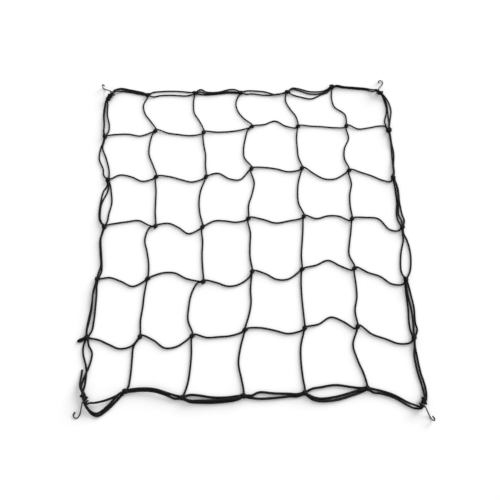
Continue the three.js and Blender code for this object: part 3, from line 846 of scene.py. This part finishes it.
def underLash(corner, strand):
    # The strand runs on from the ring under the lashing, towards the left or right side.
    run = heading(corner["lash"])
    outward = heading(corner["lash"] + 90)
    if outward.dot(heading(corner["eye"])) < 0:
        outward = -outward
    middle = eyePlace(corner)
    middle.z = corners["lashHeight"]
    middle += bundleOffset(outward, strand)
    reaches = (corners["lashStart"] + corner["lashLength"], corners["lashStart"])
    return [middle + run * reach for reach in reaches]


def cornerControls(corner, strand):
    # One strand from the last knot of a side, round the corner, to the next side's first knot.
    last = grid["lines"]
    far = corner["row"] == 0
    left = corner["column"] == 0
    acrossSide = "far" if far else "near"
    alongSide = "left" if left else "right"
    fromKnot = strandSways(alongSide, 0 if far else last - 1, strand)
    toKnot = strandSways(acrossSide, 0 if left else last - 1, strand)
    if not fromKnot or not toKnot:
        return None
    if far:
        fromKnot.reverse()
    if not left:
        toKnot.reverse()
    fromKnot.pop()
    eye = underLash(corner, strand) + throughEye(corner, strand, 1 if far == left else -1)
    if corner["name"] == "near_left" and strand == "turn":
        start = fromKnot[corners["tailStart"]:]
    else:
        start = [strandKnot(alongSide, 1 if far else last - 1, strand), *fromKnot]
    return [*start, *eye, *toKnot, strandKnot(acrossSide, 1 if left else last - 1, strand)]


def addStrands(whole, runs):
    # Each cord of a stretch is laid over the ones before it.
    total = 0
    laid = []
    for controls in runs:
        places = settle(smoothRun(controls, cord["step"]), True)
        clear = places[cord["knotPlaces"]:-cord["knotPlaces"]]
        laid += layOver(clear, laid)
        total += addCord(whole, places, True)
    return total


def addLashing(whole, corner):
    # Turns of cord round the bundle beside the ring, and two small knots in them.
    run = heading(corner["lash"])
    side = heading(corner["lash"] + 90)
    middle = eyePlace(corner)
    middle.z = corners["lashHeight"]
    start = middle + run * (corners["lashStart"] - corners["lashLead"])
    end = start + run * corner["lashLength"]
    reach = corners["bundleRadius"] + cord["radius"]
    turns = corner["lashLength"] / corners["lashPitch"]
    coil = coilRound([start, end], turns, reach, reach, corner["lash"])
    length = addTube(whole, settle(coil), corners["lashRadius"], knots["sides"])
    for bump in corners["bumps"]:
        place = start.lerp(end, bump["share"]) + side * bump["side"]
        addKnot(whole, place, corner["lash"] + corners["bumpTurn"], knots["lashKnot"], bump["share"])
    return length


def addStub(whole):
    # A short hairpin of cord out of a knot of the left side.
    knot = sideKnot("left", stub["knot"], 0)
    outward = heading(stub["direction"])
    sideways = heading(stub["direction"] + 90)
    legs = [(leg["share"], 1, leg["height"]) for leg in stub["legs"]]
    back = [(share, -side, height) for share, side, height in reversed(legs)]
    controls = []
    for share, side, height in [*legs, (1, 0, stub["tipHeight"]), *back]:
        place = knot + outward * stub["length"] * share + sideways * side * stub["halfSpacing"]
        controls.append(place + up * height)
    return addTube(whole, smoothRun(controls, stub["step"]), cord["radius"], cord["sides"])


def makeBorder():
    whole = bmesh.new()
    total = 0
    lashed = 0
    for side, outward in border["outward"].items():
        for span in range(1, grid["lines"] - 1):
            runs = []
            for strand in border["strands"]:
                sways = strandSways(side, span, strand)
                if sways:
                    runs.append([strandKnot(side, span, strand), *sways, strandKnot(side, span + 1, strand)])
            total += addStrands(whole, runs)
        for index in range(1, grid["lines"]):
            knot = knots["largeKnot"] if (side, index) in knots["large"] else knots["borderKnot"]
            direction = 0 if side in ("far", "near") else 90
            variety = varietyOf(index, outward[0] * 3 + outward[1])
            addKnot(whole, sideKnot(side, index, 0), direction, knot, variety)
    for corner in corners["places"]:
        runs = [cornerControls(corner, strand) for strand in border["strands"]]
        total += addStrands(whole, [run for run in runs if run])
        lashed += addLashing(whole, corner)
    total += addStub(whole)
    finishPiece(whole, "borderCord", ["border_cord"], blackCord)
    print("stage: border,", round(total), "mm of cord, the knots' windings left out")
    print("stage: corner lashings,", round(lashed), "mm of thinner cord")


makeBorder()

hooks = {
    "radius": 1.1,
    "rest": 1.11,
    "liftedRest": 1.17,
    "sides": 14,
    "eyeRadius": 5.8,
    "eyeArc": 300,
    "eyeSteps": 40,
    "shankStart": 3,
    "shankStep": 1.5,
    "leadIn": 2,             # a run-in before the shank, so that it leaves the eye smoothly
    "leadInPlaces": 3,
    "bendOffset": 26.6,
    "bendSideShift": 1,
    "bendRadius": 4.9,
    "bendSteps": 28,
    "tipLength": 2.6,
    "capLength": 5.5,
    "capRadius": 1.45,
    "roundSteps": 4,
    "roundTurn": 80,
    "roundOut": 0.6,
}


def hookPlaces(corner):
    # An eye that stands round the bundle, a shank down to the floor and a half-round bend.
    centre = eyePlace(corner)
    outward = heading(corner["direction"])
    eyeOutward = heading(corner["eye"])
    sideways = heading(corner["direction"] + 90)
    lift = radians(corner["lift"])
    towardTip = sideways * corner["tipSide"] * cos(lift) + up * sin(lift)
    places = []
    for i in range(hooks["eyeSteps"] + 1):
        angle = radians(-i * hooks["eyeArc"] / hooks["eyeSteps"])
        place = centre + eyeOutward * hooks["eyeRadius"] * cos(angle)
        places.append(place + up * hooks["eyeRadius"] * sin(angle))
    bendCentre = centre + outward * hooks["bendOffset"]
    bendCentre += sideways * corner["tipSide"] * hooks["bendSideShift"]
    bendCentre.z = (hooks["liftedRest"] if lift else hooks["rest"]) + hooks["bendRadius"] * sin(lift)
    shankEnd = bendCentre - towardTip * hooks["bendRadius"]
    eyeEnd = places[-1]
    eyeRun = (places[-1] - places[-2]).normalized()
    shankStart = shankEnd - outward * hooks["shankStart"]
    controls = [eyeEnd, eyeEnd.lerp(shankStart, 0.5), shankStart, shankEnd]
    shank = smoothRun([eyeEnd - eyeRun * hooks["leadIn"], *controls], hooks["shankStep"])
    places += shank[hooks["leadInPlaces"]:-1]
    for i in range(hooks["bendSteps"] + 1):
        angle = i * pi / hooks["bendSteps"]
        across = towardTip * -hooks["bendRadius"] * cos(angle)
        places.append(bendCentre + across + outward * hooks["bendRadius"] * sin(angle))
    places.append(bendCentre + towardTip * hooks["bendRadius"] - outward * hooks["tipLength"])
    return places[::-1]


def cappedRadii(places):
    # The wire is thicker under the dark cap at its tip, which comes first, and lies on the floor.
    radii = []
    length = 0
    for i, place in enumerate(places):
        length += (place - places[max(0, i - 1)]).length
        radii.append(hooks["capRadius"] if length < hooks["capLength"] else hooks["radius"])
    for place, radius in zip(places, radii):
        place.z = max(place.z, radius)
    return radii


def roundedEnds(places, radii):
    # Both ends of a wire close in a few shrinking rings.
    for atStart in (True, False):
        end, before = (places[0], places[1]) if atStart else (places[-1], places[-2])
        radius = radii[0] if atStart else radii[-1]
        out = (end - before).normalized()
        extra = []
        small = []
        for k in range(1, hooks["roundSteps"] + 1):
            angle = k * radians(hooks["roundTurn"]) / hooks["roundSteps"]
            extra.append(end + out * radius * hooks["roundOut"] * sin(angle))
            small.append(radius * cos(angle))
        if atStart:
            places = extra[::-1] + places
            radii = small[::-1] + radii
        else:
            places = places + extra
            radii = radii + small
    return places, radii


def makeHooks():
    for corner in corners["places"]:
        whole = bmesh.new()
        places = hookPlaces(corner)
        places, radii = roundedEnds(places, cappedRadii(places))
        addTube(whole, places, radii, hooks["sides"])
        name = "hook" + corner["name"].title().replace("_", "")
        finishPiece(whole, name, ["hook_" + corner["name"]], steelWire)
    print("stage: hooks")


makeHooks()
